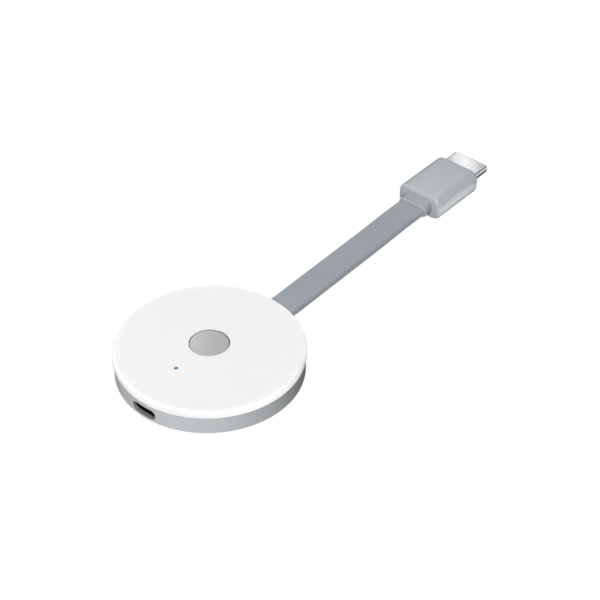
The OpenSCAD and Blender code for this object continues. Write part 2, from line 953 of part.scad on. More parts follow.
// The neck behind the lip: it grows up and down towards the body
module plug_neck() {
  intersection() {
    leaning_block(atan2(neck_rise, neck_l), neck_h / 2, -plug_h / 2);
    leaning_block(-atan2(neck_fall, neck_l), -neck_h / 2, plug_h / 2);
    translate([-neck_w, neck_y, -plug_h]) {
      cube([2 * neck_w, neck_l + plug_end_round, 2 * plug_h]);
    }
  }
}

// The moulded plug body with its neck and lip
module plug_body() color([0.69, 0.71, 0.72]) {
  difference() {
    union() {
      translate([0, plug_y, plug_z]) {
        filleted_block(plug_w, plug_h, plug_l, plug_round, plug_end_round);
      }
      translate([0, 0, neck_z]) {
        plug_neck();
        along_y(neck_y, lip_l) {
          rounded(neck_w + 2 * lip_out, neck_h + 2 * lip_out, neck_h * neck_round_share + lip_out);
        }
      }
    }
    block_solid();
    translate([0, 0, plug_z]) along_y(shell_y - over, shell_in + 2 * over) shell_outline(0);
  }
}

module plug_shell() color([0.86, 0.86, 0.87]) {
  translate([0, 0, plug_z]) along_y(shell_y, shell_end - shell_y) {
    difference() {
      shell_outline(0);
      shell_outline(shell_t);
    }
  }
}

// Black liner inside the shell, with the slit that the socket's tongue enters
module plug_liner() color([0.07, 0.07, 0.08]) {
  translate([0, 0, plug_z]) along_y(shell_y, shell_end - liner_back - shell_y) {
    difference() {
      shell_outline(shell_t);
      square([slit_w, slit_h], center = true);
    }
  }
}

module plug_contacts() color([0.88, 0.72, 0.38]) {
  back = shell_y - contact_back;
  front = shell_end - liner_back - contact_front;
  for (row = contact_rows) {
    for (k = [0 : row[1] - 1]) {
      translate([(k - (row[1] - 1) / 2) * contact_step - contact_w / 2, back,
        plug_z + row[0] * (slit_h - contact_t) / 2 - contact_t / 2]) {
        cube([contact_w, front - back, contact_t]);
      }
    }
  }
}

module plug_board() color([0.10, 0.28, 0.20]) {
  translate([-plug_board_w / 2, shell_y - plug_board_l, plug_z - plug_board_t / 2]) {
    cube([plug_board_w, plug_board_l, plug_board_t]);
  }
}

// Moulded block round the plug board and the wire ends
module plug_inner_block() color([0.90, 0.90, 0.87]) {
  difference() {
    block_solid();
    translate([-plug_board_w / 2 - seat_gap, shell_y - plug_board_l, plug_z - slit_h / 2]) {
      cube([plug_board_w + 2 * seat_gap, plug_board_l + over, slit_h]);
    }
  }
}

top_cover();
base_housing();
foot_pad();
screws();
button();
light_pipe();
main_board();
video_chip();
memory_chip();
radio_chip();
radio_shield();
antennas();
crystal();
power_inductors();
capacitors();
resistors();
status_led();
switch_case();
switch_plunger();
snap_dome();
heat_spreader();
thermal_pad();
port_shell();
port_tongue();
port_contacts();
cable_anchor();
cable_wires();
flat_cable();
plug_body();
plug_shell();
plug_liner();
plug_contacts();
plug_board();
plug_inner_block();
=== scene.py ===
import math

import bpy
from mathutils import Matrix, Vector


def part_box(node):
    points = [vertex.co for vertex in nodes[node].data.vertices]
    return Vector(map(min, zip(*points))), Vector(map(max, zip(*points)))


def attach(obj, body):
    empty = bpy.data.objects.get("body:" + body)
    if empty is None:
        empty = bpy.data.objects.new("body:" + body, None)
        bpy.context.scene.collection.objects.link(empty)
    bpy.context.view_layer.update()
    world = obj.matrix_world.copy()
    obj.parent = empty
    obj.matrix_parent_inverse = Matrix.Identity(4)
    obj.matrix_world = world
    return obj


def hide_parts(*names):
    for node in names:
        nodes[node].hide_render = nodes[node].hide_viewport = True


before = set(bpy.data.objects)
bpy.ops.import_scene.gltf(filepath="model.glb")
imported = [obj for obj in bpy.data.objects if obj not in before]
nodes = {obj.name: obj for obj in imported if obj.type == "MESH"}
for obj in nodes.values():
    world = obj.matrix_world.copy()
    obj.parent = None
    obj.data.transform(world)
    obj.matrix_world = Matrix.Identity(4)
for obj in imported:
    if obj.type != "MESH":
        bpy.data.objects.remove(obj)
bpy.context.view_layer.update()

MM = 0.001
# Points closer than this, in metres, lie in one plane
TOUCH = 1e-6

# The photograph's camera: degrees to the right of the port's side and above the floor, then how far
# it stands from the spot it looks at, in millimetres
CAMERA_TURN, CAMERA_TILT = 40.32, 39.33
CAMERA_AIM, CAMERA_FAR = (-0.35, 43.76, 0), 605.03
CAMERA_LENS, CAMERA_FILM = 111.0, 36.0

# Sizes of the outside, in millimetres, as the solids have them
BAND_R = 29.9
HOLE_R = 6.4
PORT_FRONT = 28.8
BOARD_R, BOARD_TOP = 26.6, 5.51
CABLE_W, CABLE_T, CABLE_L = 10.7, 2.2, 73.9
CABLE_Y, CABLE_Z = 29.3419, 2.855
# How the cable climbs to the plug's neck: share of its length, share of the climb
CABLE_ROUTE = [(0, 0), (0.13, 0), (0.3, 0.2), (0.5, 0.4), (0.7, 0.62), (0.87, 1), (1, 1)]
PLUG_W, PLUG_L, PLUG_H = 17.8, 22.6, 9.0
PLUG_Y, PLUG_Z = 106.7419, 4.5
NECK_W, NECK_L, NECK_H = 11.1, 3.5, 3.4
NECK_Y, NECK_Z = 103.2419, 4.25
NECK_RISE, NECK_FALL = 1.5, 0.9
LIP_OUT, LIP_L = 0.3, 0.6
SHELL_W, SHELL_H, SHELL_LOW_W, SHELL_SIDE_H = 13.9, 4.45, 10.2, 2.5
SHELL_BACK, SHELL_END = 122.3419, 137.1419
SHELL_WALL = 0.35

# Forms that only this script has, in millimetres
CABLE_STEPS, CABLE_EDGE_STEPS = 60, 10
PLUG_SIDE_ROUND, PLUG_END_ROUND = 3.4, 1.3
NECK_ROUND, NECK_START, NECK_SUNK = 1.5, 0.1, 1.4
LIP_ROUND, LIP_EDGE = 1.7, 0.2
SHELL_CORNER, SHELL_MOUTH = 0.62, 0.12
SHELL_TOP_LINE, SHELL_SIDE_LINE, SHELL_MOUTH_LINE = 0.8, 1.75, 0.5
CHIP_WAIST, CHIP_EDGE = 0.94, 0.04
# Where the rows of small parts start, as shares of the board's radius
CAP_PLACES = [(0.28, -0.135), (-0.39, -0.23), (-0.135, 0.54)]
OHM_PLACES = [(0.28, -0.245), (-0.39, -0.34), (0.28, 0.455)]

# Where a finish changes, and where painted shade and painted highlights start, in millimetres
SLOT_SHADE_DEPTH, PAINT_UNDER_Z = 0.12, 0.5
HOLE_SHADE_WALL, HOLE_SHADE_Z = 0.09, 10.24
MOUTH_GLINT_L = 0.12
PIN_MARK_IN, PIN_MARK_R = 0.9, 0.32


def mm(*point):
    return tuple(v * MM for v in point)


# Camera
def place_camera():
    turn, tilt = math.radians(CAMERA_TURN), math.radians(CAMERA_TILT)
    look = Vector((-math.sin(turn) * math.cos(tilt), math.cos(turn) * math.cos(tilt), -math.sin(tilt)))
    spot = Vector(CAMERA_AIM) - look * CAMERA_FAR
    bpy.ops.object.camera_add(location=spot * MM, rotation=(math.pi / 2 - tilt, 0, turn))
    camera = bpy.context.object
    camera.name = "studio_camera"
    camera.data.lens = CAMERA_LENS
    camera.data.sensor_width = CAMERA_FILM
    camera.data.clip_start, camera.data.clip_end = 0.01, 20
    bpy.context.scene.camera = camera


place_camera()


# Modelling
def clear_selection():
    if bpy.context.object and bpy.context.object.mode != "OBJECT":
        bpy.ops.object.mode_set(mode="OBJECT")
    bpy.ops.object.select_all(action="DESELECT")


def take(obj):
    """Makes the object the only selected one, and the active one."""
    clear_selection()
    obj.select_set(True)
    bpy.context.view_layer.objects.active = obj


def edit(obj):
    take(obj)
    bpy.ops.object.mode_set(mode="EDIT")


def pick(obj, kind, wanted):
    """Opens the object for editing with only the wanted vertices, edges or faces selected."""
    edit(obj)
    bpy.ops.mesh.select_mode(type=kind)
    bpy.ops.mesh.select_all(action="DESELECT")
    bpy.ops.object.mode_set(mode="OBJECT")
    items = {"VERT": obj.data.vertices, "EDGE": obj.data.edges, "FACE": obj.data.polygons}[kind]
    for item in items:
        item.select = wanted(item)
    bpy.ops.object.mode_set(mode="EDIT")


def bevel_picked(wide, count):
    bpy.ops.mesh.bevel(offset=wide * MM, segments=count, profile=0.5, clamp_overlap=True)


def cut_all(spot, way):
    """Cuts the whole mesh along a plane without taking anything away; the spot is in millimetres."""
    bpy.ops.mesh.select_all(action="SELECT")
    bpy.ops.mesh.bisect(plane_co=mm(*spot), plane_no=way)


def new_mesh(name, points, faces):
    mesh = bpy.data.meshes.new(name)
    mesh.from_pydata(points, [], faces)
    obj = bpy.data.objects.new(name, mesh)
    bpy.context.scene.collection.objects.link(obj)
    return obj


def new_block(name, centre, size):
    clear_selection()
    bpy.ops.mesh.primitive_cube_add(size=1, location=mm(*centre), scale=mm(*size))
    obj = bpy.context.object
    obj.name = name
    bpy.ops.object.transform_apply(location=True, rotation=True, scale=True)
    return obj


def settle(obj, angle, merge=0.002):
    """Merges seams, turns faces outwards and puts the object's place into its mesh."""
    edit(obj)
    bpy.ops.mesh.select_all(action="SELECT")
    bpy.ops.mesh.remove_doubles(threshold=merge * MM)
    bpy.ops.mesh.normals_make_consistent(inside=False)
    bpy.ops.object.mode_set(mode="OBJECT")
    bpy.ops.object.transform_apply(location=True, rotation=True, scale=True)
    bpy.ops.object.shade_smooth_by_angle(angle=math.radians(angle))


def finish_piece(obj, body, slot, material, *stands_for):
    obj.data.materials.clear()
    obj.data.materials.append(material)
    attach(obj, body)
    if stands_for:
        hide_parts(*stands_for)
    return obj


# Finishes: the steps they are built from
def start_material(name):
    material = bpy.data.materials.new(name)
    material.use_nodes = True
    tree = material.node_tree
    shader = tree.nodes["Principled BSDF"]
    place = tree.nodes.new("ShaderNodeTexCoord")
    return material, tree, shader, place.outputs["Object"]


def reopen(material):
    """What a further layer needs: the tree, the place, the colour's socket and what feeds it so far."""
    tree = material.node_tree
    base = tree.nodes["Principled BSDF"].inputs["Base Color"]
    return tree, tree.nodes["Texture Coordinate"].outputs["Object"], base, base.links[0].from_socket


def number(tree, operation, value, *others):
    """Works out one number; the others are numbers too, or sockets."""
    node = tree.nodes.new("ShaderNodeMath")
    node.operation = operation
    tree.links.new(value, node.inputs[0])
    for k, other in enumerate(others, 1):
        if isinstance(other, (int, float)):
            node.inputs[k].default_value = other
        else:
            tree.links.new(other, node.inputs[k])
    return node.outputs["Value"]


def vector(tree, operation, value, other=None, out="Vector"):
    """Works out one vector, or with out="Value" a length or a distance."""
    node = tree.nodes.new("ShaderNodeVectorMath")
    node.operation = operation
    tree.links.new(value, node.inputs[0])
    if other:
        node.inputs[1].default_value = other
    return node.outputs[out]


def along(tree, place, axis):
    split = tree.nodes.new("ShaderNodeSeparateXYZ")
    tree.links.new(place, split.inputs["Vector"])
    return split.outputs[axis]


def distance_from_axis(tree, place):
    return vector(tree, "LENGTH", vector(tree, "MULTIPLY", place, (1, 1, 0)), out="Value")


def grain(tree, place, size, detail, stretch=None):
    """Noise whose lumps are about size millimetres; stretch draws it out along an axis."""
    if stretch:
        mapping = tree.nodes.new("ShaderNodeMapping")
        mapping.inputs["Scale"].default_value = stretch
        tree.links.new(place, mapping.inputs["Vector"])
        place = mapping.outputs["Vector"]
    noise = tree.nodes.new("ShaderNodeTexNoise")
    noise.inputs["Scale"].default_value = 1 / (size * MM)
    noise.inputs["Detail"].default_value = detail
    tree.links.new(place, noise.inputs["Vector"])
    return noise.outputs["Fac"]


def cells(tree, place, size):
    """Distance from the middle of the nearest cell; cells are about size millimetres wide."""
    voronoi = tree.nodes.new("ShaderNodeTexVoronoi")
    voronoi.inputs["Scale"].default_value = 1 / (size * MM)
    tree.links.new(place, voronoi.inputs["Vector"])
    return voronoi.outputs["Distance"]


def spread(tree, value, low, high, socket):
    """Maps a noise value to a range on a socket."""
    ramp = tree.nodes.new("ShaderNodeMapRange")
    ramp.inputs["From Min"].default_value = 0.3
    ramp.inputs["From Max"].default_value = 0.7
    ramp.inputs["To Min"].default_value = low
    ramp.inputs["To Max"].default_value = high
    tree.links.new(value, ramp.inputs["Value"])
    tree.links.new(ramp.outputs["Result"], socket)


def two_tones(tree, value, first, second, socket, low=0.35, high=0.65):
    """Blends from the first tone to the second as the value goes from low to high."""
    ramp = tree.nodes.new("ShaderNodeValToRGB")
    for element, position, tone in zip(ramp.color_ramp.elements, (low, high), (first, second)):
        element.position = position
        element.color = (*tone, 1)
    tree.links.new(value, ramp.inputs["Fac"])
    tree.links.new(ramp.outputs["Color"], socket)
    return ramp.outputs["Color"]


def split_by(tree, value, test, limit, first, second, socket):
    """Paints first where the test of a value against a limit fails, and second where it holds."""
    mix = tree.nodes.new("ShaderNodeMix")
    mix.data_type = "RGBA"
    tree.links.new(number(tree, test, value, limit), mix.inputs["Factor"])
    for place, tone in (("A", first), ("B", second)):
        if isinstance(tone, tuple):
            mix.inputs[place].default_value = (*tone, 1)
        else:
            tree.links.new(tone, mix.inputs[place])
    tree.links.new(mix.outputs["Result"], socket)
    return mix.outputs["Result"]


def roughen(tree, value, depth, shader, strength=1.0):
    """Bumps the surface by up to depth millimetres."""
    bump = tree.nodes.new("ShaderNodeBump")
    bump.inputs["Strength"].default_value = strength
    bump.inputs["Distance"].default_value = depth * MM
    tree.links.new(value, bump.inputs["Height"])
    tree.links.new(bump.outputs["Normal"], shader.inputs["Normal"])


def shade(colour, k):
    return tuple(min(1.0, c * k) for c in colour)


# Finishes: the materials
def moulded(name, colour, rough, grain_size, depth=0.003, tone=0.02, specular=0.5, glow=0.0):
    """Moulded plastic: faint clouds of tone, a fine spark-eroded grain and uneven gloss.

    Sizes are in millimetres; glow is how far light travels inside.
    """
    material, tree, shader, place = start_material(name)
    two_tones(tree, grain(tree, place, 6, 3), shade(colour, 1 - tone), shade(colour, 1 + tone),
              shader.inputs["Base Color"])
    spread(tree, grain(tree, place, 2.5, 4), rough - 0.05, rough + 0.05, shader.inputs["Roughness"])
    roughen(tree, grain(tree, place, grain_size, 3), depth, shader)
    shader.inputs["Specular IOR Level"].default_value = specular
    if glow:
        shader.inputs["Subsurface Weight"].default_value = 1.0
        shader.inputs["Subsurface Radius"].default_value = (1.0, 1.0, 1.0)
        shader.inputs["Subsurface Scale"].default_value = glow * MM
    return material


def plated(name, colour, rough, lines, depth=0.0005):
    """Plated or drawn metal: fine rolling lines, uneven gloss and slight toning."""
    material, tree, shader, place = start_material(name)
    shader.inputs["Metallic"].default_value = 1.0
    two_tones(tree, grain(tree, place, 3, 3), shade(colour, 0.95), shade(colour, 1.03),
              shader.inputs["Base Color"])
    streaks = grain(tree, place, 0.12, 4, lines)
    spread(tree, streaks, rough - 0.04, rough + 0.05, shader.inputs["Roughness"])
    roughen(tree, streaks, depth, shader)
    return material


def band_paint_and_slot_shade():
    """Grey satin paint on the outside and the underside; inside the slots the colour is painted dark as
    painted shade in the recesses.
    """
    material, tree, shader, place = start_material("band_grey_paint_and_slot_shade")
    base = shader.inputs["Base Color"]
    paint = two_tones(tree, grain(tree, place, 5, 3), (0.385, 0.400, 0.410), (0.400, 0.415, 0.425), base)
    # painted shade: dark inside the slots, deeper in than the band's face and above the underside
    outside = split_by(tree, distance_from_axis(tree, place), "GREATER_THAN", (BAND_R - SLOT_SHADE_DEPTH) * MM,
                       (0.13, 0.133, 0.137), paint, base)
    split_by(tree, along(tree, place, "Z"), "LESS_THAN", PAINT_UNDER_Z * MM, outside, paint, base)
    spread(tree, grain(tree, place, 2, 4), 0.38, 0.46, shader.inputs["Roughness"])
    roughen(tree, grain(tree, place, 0.16, 3), 0.003, shader)
    return material


def cover_white():
    """White plastic that lets light in a little; the wall of the button's hole is painted dark below its edge
    as painted shade in the gap round the button.
    """
    material = moulded("cover_white_plastic", (0.755, 0.755, 0.76), rough=0.4, grain_size=0.22, depth=0.002,
                       tone=0.006, specular=0.25, glow=1.2)
    tree, place, base, white = reopen(material)
    # painted shade: the hole's wall is dark below the cover's top
    hole = split_by(tree, distance_from_axis(tree, place), "LESS_THAN", (HOLE_R + HOLE_SHADE_WALL) * MM, white,
                    (0.05, 0.05, 0.052), base)
    split_by(tree, along(tree, place, "Z"), "GREATER_THAN", HOLE_SHADE_Z * MM, hole, white, base)
    return material


def port_shade_and_mouth_glint():
    """Plated metal painted near black as painted shade inside the port; a short band at its mouth is painted
    bright as a painted highlight on its front edge.
    """
    # painted shade: the shell's metal is near black
    material = plated("port_shell_shade_and_glint", (0.06, 0.06, 0.062), 0.42, (1, 0.05, 1))
    tree, place, base, dark = reopen(material)
    # painted highlight: a bright band at the mouth's front edge
    split_by(tree, along(tree, place, "Y"), "LESS_THAN", (MOUTH_GLINT_L - PORT_FRONT) * MM, dark,
             (0.62, 0.62, 0.63), base)
    return material


def plug_soft():
    """Soft grey plastic of the plug; the neck is painted darker as painted shade, and the lip in front of it
    painted lighter than the neck as a painted highlight on its edge.
    """
    tone = (0.37, 0.40, 0.415)
    material = moulded("plug_soft_plastic", tone, rough=0.4, grain_size=0.2)
    tree, place, base, body = reopen(material)
    # painted shade: the neck is darker than the body
    neck = two_tones(tree, grain(tree, place, 4, 3), shade(tone, 0.72), shade(tone, 0.75), base)
    body_or_neck_shade = split_by(tree, along(tree, place, "Y"), "LESS_THAN", PLUG_Y * MM, body, neck, base)
    # painted highlight: the lip is lighter than the neck and a little darker than the body
    split_by(tree, along(tree, place, "Y"), "LESS_THAN", (NECK_Y + LIP_L) * MM, body_or_neck_shade,
             shade(tone, 0.92), base)
    return material


def lit_window():
    """Clear blue plastic of the light window, lit a little from below."""
    material, tree, shader, place = start_material("light_window_blue")
    two_tones(tree, grain(tree, place, 0.5, 2), (0.022, 0.21, 0.44), (0.03, 0.25, 0.50),
              shader.inputs["Base Color"])
    spread(tree, grain(tree, place, 0.3, 2), 0.12, 0.2, shader.inputs["Roughness"])
    shader.inputs["Emission Color"].default_value = (0.03, 0.30, 0.60, 1)
    shader.inputs["Emission Strength"].default_value = 0.15
    return material


def board_lacquer(name, turn=45):
    """Green solder mask over copper tracks, which run at the turn given in degrees, with bright vias."""
    material, tree, shader, place = start_material(name)
    mapping = tree.nodes.new("ShaderNodeMapping")
    mapping.inputs["Rotation"].default_value = (0, 0, math.radians(turn))
    tree.links.new(place, mapping.inputs["Vector"])
    tracks = tree.nodes.new("ShaderNodeTexBrick")
    for socket, setting in (("Scale", 1 / MM), ("Mortar Size", 0.035), ("Mortar Smooth", 0.2),
                            ("Brick Width", 3.2), ("Row Height", 0.42),
                            ("Color1", (0.014, 0.085, 0.045, 1)), ("Color2", (0.016, 0.098, 0.052, 1)),
                            ("Mortar", (0.035, 0.17, 0.085, 1))):
        tracks.inputs[socket].default_value = setting
    tree.links.new(mapping.outputs["Vector"], tracks.inputs["Vector"])
    split_by(tree, cells(tree, place, 2.6), "LESS_THAN", 0.085, tracks.outputs["Color"], (0.55, 0.50, 0.36),
             shader.inputs["Base Color"])
    spread(tree, grain(tree, place, 3, 3), 0.28, 0.4, shader.inputs["Roughness"])
    roughen(tree, tracks.outputs["Fac"], 0.01, shader, 0.6)
    shader.inputs["Coat Weight"].default_value = 0.3
    shader.inputs["Coat Roughness"].default_value = 0.15
    return material


def mould_compound(node):
    """Black chip resin with glassy specks; a small round mark near a top corner shows pin one."""
    material, tree, shader, place = start_material(node + "_resin")
    low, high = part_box(node)
    mark_at = (low[0] + PIN_MARK_IN * MM, high[1] - PIN_MARK_IN * MM, high[2])
    specks = grain(tree, place, 0.06, 4)
    resin = two_tones(tree, specks, (0.012, 0.012, 0.013), (0.03, 0.03, 0.032), shader.inputs["Base Color"],
                      0.3, 0.8)
    split_by(tree, vector(tree, "DISTANCE", place, mark_at, out="Value"), "LESS_THAN", PIN_MARK_R * MM, resin,
             (0.09, 0.09, 0.092), shader.inputs["Base Color"])
    spread(tree, grain(tree, place, 1.2, 3), 0.5, 0.62, shader.inputs["Roughness"])
    roughen(tree, specks, 0.004, shader)
    return material


def ferrite(name):
    """Pressed iron powder: dark, speckled and a little porous."""
    material, tree, shader, place = start_material(name)
    specks = cells(tree, place, 0.12)
    two_tones(tree, specks, (0.03, 0.03, 0.032), (0.075, 0.075, 0.078), shader.inputs["Base Color"], 0.2, 0.7)
    spread(tree, grain(tree, place, 0.8, 3), 0.55, 0.7, shader.inputs["Roughness"])
    roughen(tree, specks, 0.012, shader)
    return material


def wire_sleeve(name, pitch, first, second):
    """Thin plastic sleeves side by side: the colour changes from wire to wire."""
    material, tree, shader, place = start_material(name)
    across = number(tree, "WRAP", along(tree, place, "X"), pitch * MM * 2, 0)
    two_tones(tree, number(tree, "GREATER_THAN", across, pitch * MM), first, second,
              shader.inputs["Base Color"], 0.4, 0.6)
    spread(tree, grain(tree, place, 0.7, 3), 0.35, 0.45, shader.inputs["Roughness"])
    roughen(tree, grain(tree, place, 0.1, 2), 0.003, shader)
    return material


def end_marked(name, middle_tone, rough):
    """The middle of each small part has its own colour; the ends, marked in the mesh, are tinned."""
    material, tree, shader, place = start_material(name)
    marks = tree.nodes.new("ShaderNodeAttribute")
    marks.attribute_name = "tinned"
    specks = grain(tree, place, 0.08, 3)
    body = two_tones(tree, specks, shade(middle_tone, 0.85), shade(middle_tone, 1.15),
                     shader.inputs["Base Color"])
    split_by(tree, marks.outputs["Fac"], "GREATER_THAN", 0.5, body, (0.68, 0.68, 0.69),
             shader.inputs["Base Color"])
    tree.links.new(marks.outputs["Fac"], shader.inputs["Metallic"])
    spread(tree, specks, rough - 0.05, rough + 0.05, shader.inputs["Roughness"])
    roughen(tree, specks, 0.003, shader)
    return material


contact_gold = plated("contact_gold", (0.83, 0.58, 0.24), 0.25, (1, 0.1, 1))
# The nodes that are carried over as they were packed, each with its finish
FINISHES = {
    "top_cover": cover_white(),
    "base_housing": band_paint_and_slot_shade(),
    "foot_pad": moulded("pad_rubber", (0.035, 0.036, 0.038), rough=0.75, grain_size=0.3, depth=0.02, tone=0.1,
                        specular=0.3),
    "screws": plated("screw_steel", (0.42, 0.42, 0.43), 0.3, (1, 1, 0.1), depth=0.002),
    "button": moulded("button_satin_plastic", (0.39, 0.39, 0.395), rough=0.34, grain_size=0.14),
    "light_pipe": lit_window(),
    "main_board": board_lacquer("main_board_lacquer"),
    "video_chip": mould_compound("video_chip"),
    "memory_chip": mould_compound("memory_chip"),
    "radio_chip": mould_compound("radio_chip"),
    "radio_shield": plated("tinned_metal", (0.70, 0.70, 0.71), 0.33, (1, 0.3, 1), depth=0.0015),
    "antennas": plated("antenna_metal", (0.74, 0.62, 0.38), 0.3, (1, 1, 0.1), depth=0.001),
    "crystal": plated("crystal_can_metal", (0.62, 0.62, 0.63), 0.28, (0.3, 1, 1), depth=0.0012),
    "power_inductors": ferrite("coil_ferrite"),
    "status_led": moulded("lamp_lens_resin", (0.72, 0.76, 0.80), rough=0.15, grain_size=0.3, depth=0.001,
                          glow=0.5),
    "switch_case": moulded("switch_black_plastic", (0.02, 0.02, 0.021), rough=0.5, grain_size=0.12,
                           depth=0.004, tone=0.1),
    "switch_plunger": moulded("plunger_white_plastic", (0.62, 0.60, 0.55), rough=0.35, grain_size=0.2,
                              depth=0.002, glow=0.3),
    "snap_dome": plated("snap_dome_steel", (0.60, 0.60, 0.60), 0.22, (0.1, 1, 1), depth=0.0006),
    "heat_spreader": plated("spreader_aluminium", (0.72, 0.73, 0.74), 0.36, (1, 0.04, 1), depth=0.002),
    "thermal_pad": moulded("thermal_pad_silicone", (0.20, 0.27, 0.36), rough=0.7, grain_size=0.35,
                           depth=0.015, tone=0.06),
    "port_shell": port_shade_and_mouth_glint(),
    "port_tongue": moulded("tongue_black_plastic", (0.008, 0.008, 0.009), rough=0.5, grain_size=0.15,
                           depth=0.002, tone=0.1, specular=0.15),
    "port_contacts": contact_gold,
    "cable_anchor": moulded("anchor_plastic", (0.22, 0.24, 0.25), rough=0.55, grain_size=0.2, depth=0.005,
                            tone=0.05),
    "cable_wires": wire_sleeve("wire_sleeves", 1.07, (0.36, 0.07, 0.03), (0.50, 0.47, 0.42)),
    "plug_liner": moulded("liner_black_plastic", (0.014, 0.014, 0.015), rough=0.4, grain_size=0.15,
                          depth=0.002, tone=0.1),
    "plug_contacts": contact_gold,
    "plug_board": board_lacquer("plug_board_lacquer", turn=0),
    "plug_inner_block": moulded("block_cream_plastic", (0.58, 0.56, 0.50), rough=0.42, grain_size=0.25,
                                depth=0.006, tone=0.04, glow=0.3),
}
for name, material in FINISHES.items():
    nodes[name].data.materials.clear()
    nodes[name].data.materials.append(material)


# The flat cable
def cable_line(share):
    """Centre of the cable at a share of its length, in millimetres."""
    for (start, low), (end, high) in zip(CABLE_ROUTE, CABLE_ROUTE[1:]):
        if share <= end:
            t = (share - start) / (end - start)
            climb = low + (high - low) * t
            return Vector((0, CABLE_Y + CABLE_L * share, CABLE_Z + climb * (NECK_Z - CABLE_Z)))


def flat_cable():
    """Outlines with round edges along the cable's line, joined ring by ring and closed at both ends."""
    line = [cable_line(k / CABLE_STEPS) for k in range(CABLE_STEPS + 1)]
    edge = CABLE_T / 2
    turns = [math.radians(-90 + 180 * k / CABLE_EDGE_STEPS) for k in range(CABLE_EDGE_STEPS + 1)]
    outline = [(CABLE_W / 2 - edge + edge * math.cos(a), edge * math.sin(a)) for a in turns]
    outline += [(-x, -z) for x, z in outline]
    points, faces = [], []
    for p in line:
        points += [mm(p.x + x, p.y, p.z + z) for x, z in outline]
    n = len(outline)
    for k in range(CABLE_STEPS):
        for s in range(n):
            a, b = k * n + s, k * n + (s + 1) % n
            faces.append((a, a + n, b + n, b))
    faces.append(tuple(range(n)))
    faces.append(tuple(CABLE_STEPS * n + s for s in reversed(range(n))))
    obj = new_mesh("flat_cable_jacket", points, faces)
    settle(obj, 40)
    material = moulded("cable_jacket", (0.328, 0.362, 0.392), rough=0.42, grain_size=0.2)
    finish_piece(obj, "housing", "cable_grey", material, "flat_cable")
    return obj


jacket = flat_cable()


# The plug's moulding: a soft block, a neck and a thin lip round the cable
def soft_block(name, centre, size, side, end=(0, 1)):
    """A block along Y: its four long edges are rounded, then both end rims, each (radius, steps)."""
    obj = new_block(name, centre, size)
    low, high = (centre[1] - size[1] / 2) * MM, (centre[1] + size[1] / 2) * MM

    def ends_of(edge):
        """How many of the edge's two vertices lie at the low end and at the high end."""
        heights = [obj.data.vertices[v].co.y for v in edge.vertices]
        return [sum(abs(y - at) < TOUCH for y in heights) for at in (low, high)]

    pick(obj, "EDGE", lambda edge: ends_of(edge) == [1, 1])
    bevel_picked(*side)
    if end[0]:
        pick(obj, "EDGE", lambda edge: 2 in ends_of(edge))
        bevel_picked(*end)
    bpy.ops.object.mode_set(mode="OBJECT")
    return obj


def grow_neck(neck):
    """Stretches the neck's end at the body upwards and a little downwards."""
    pick(neck, "VERT", lambda vertex: vertex.co.y > (NECK_Y + NECK_L) * MM)
    k = (NECK_L + NECK_SUNK) / NECK_L
    tall = NECK_H + k * (NECK_RISE + NECK_FALL)
    bpy.ops.transform.resize(value=(1, 1, tall / NECK_H), center_override=mm(0, 0, NECK_Z))
    bpy.ops.transform.translate(value=(0, 0, k * (NECK_RISE - NECK_FALL) / 2 * MM))
    bpy.ops.object.mode_set(mode="OBJECT")


def unite(first, *others):
    """Unites the forms into one closed mesh, which keeps the first one's name."""
    for other in others:
        take(first)
        union = first.modifiers.new("union", "BOOLEAN")
        union.operation, union.solver, union.object = "UNION", "EXACT", other
        bpy.ops.object.modifier_apply(modifier="union")
        bpy.data.objects.remove(other, do_unlink=True)


def plug_moulding():
    body = soft_block("plug_moulding", (0, PLUG_Y + PLUG_L / 2, PLUG_Z), (PLUG_W, PLUG_L, PLUG_H),
                      (PLUG_SIDE_ROUND, 12), (PLUG_END_ROUND, 6))
    neck = soft_block("neck", (0, NECK_Y + (NECK_START + NECK_L + NECK_SUNK) / 2, NECK_Z),
                      (NECK_W, NECK_L + NECK_SUNK - NECK_START, NECK_H), (NECK_ROUND, 8))
    grow_neck(neck)
    lip = soft_block("lip", (0, NECK_Y + LIP_L / 2, NECK_Z),
                     (NECK_W + 2 * LIP_OUT, LIP_L, NECK_H + 2 * LIP_OUT), (LIP_ROUND, 8), (LIP_EDGE, 3))
    unite(body, neck, lip)
    settle(body, 28)
    return finish_piece(body, "housing", "plug_grey", plug_soft(), "plug_body")


moulding = plug_moulding()


# The plug's sheet-metal shell: a bent sleeve with a rounded mouth
def round_rim(obj, y, wide, count):
    """Rounds the edges that lie in one plane across the plug, where two faces meet at a right angle."""
    front = {v.index for v in obj.data.vertices if abs(v.co.y - y * MM) < TOUCH}
    rim = set()
    for face in obj.data.polygons:
        if not all(k in front for k in face.vertices):
            rim.update(tuple(sorted(pair)) for pair in face.edge_keys if front.issuperset(pair))
    pick(obj, "EDGE", lambda edge: tuple(sorted(edge.vertices)) in rim)
    bevel_picked(wide, count)
    bpy.ops.object.mode_set(mode="OBJECT")


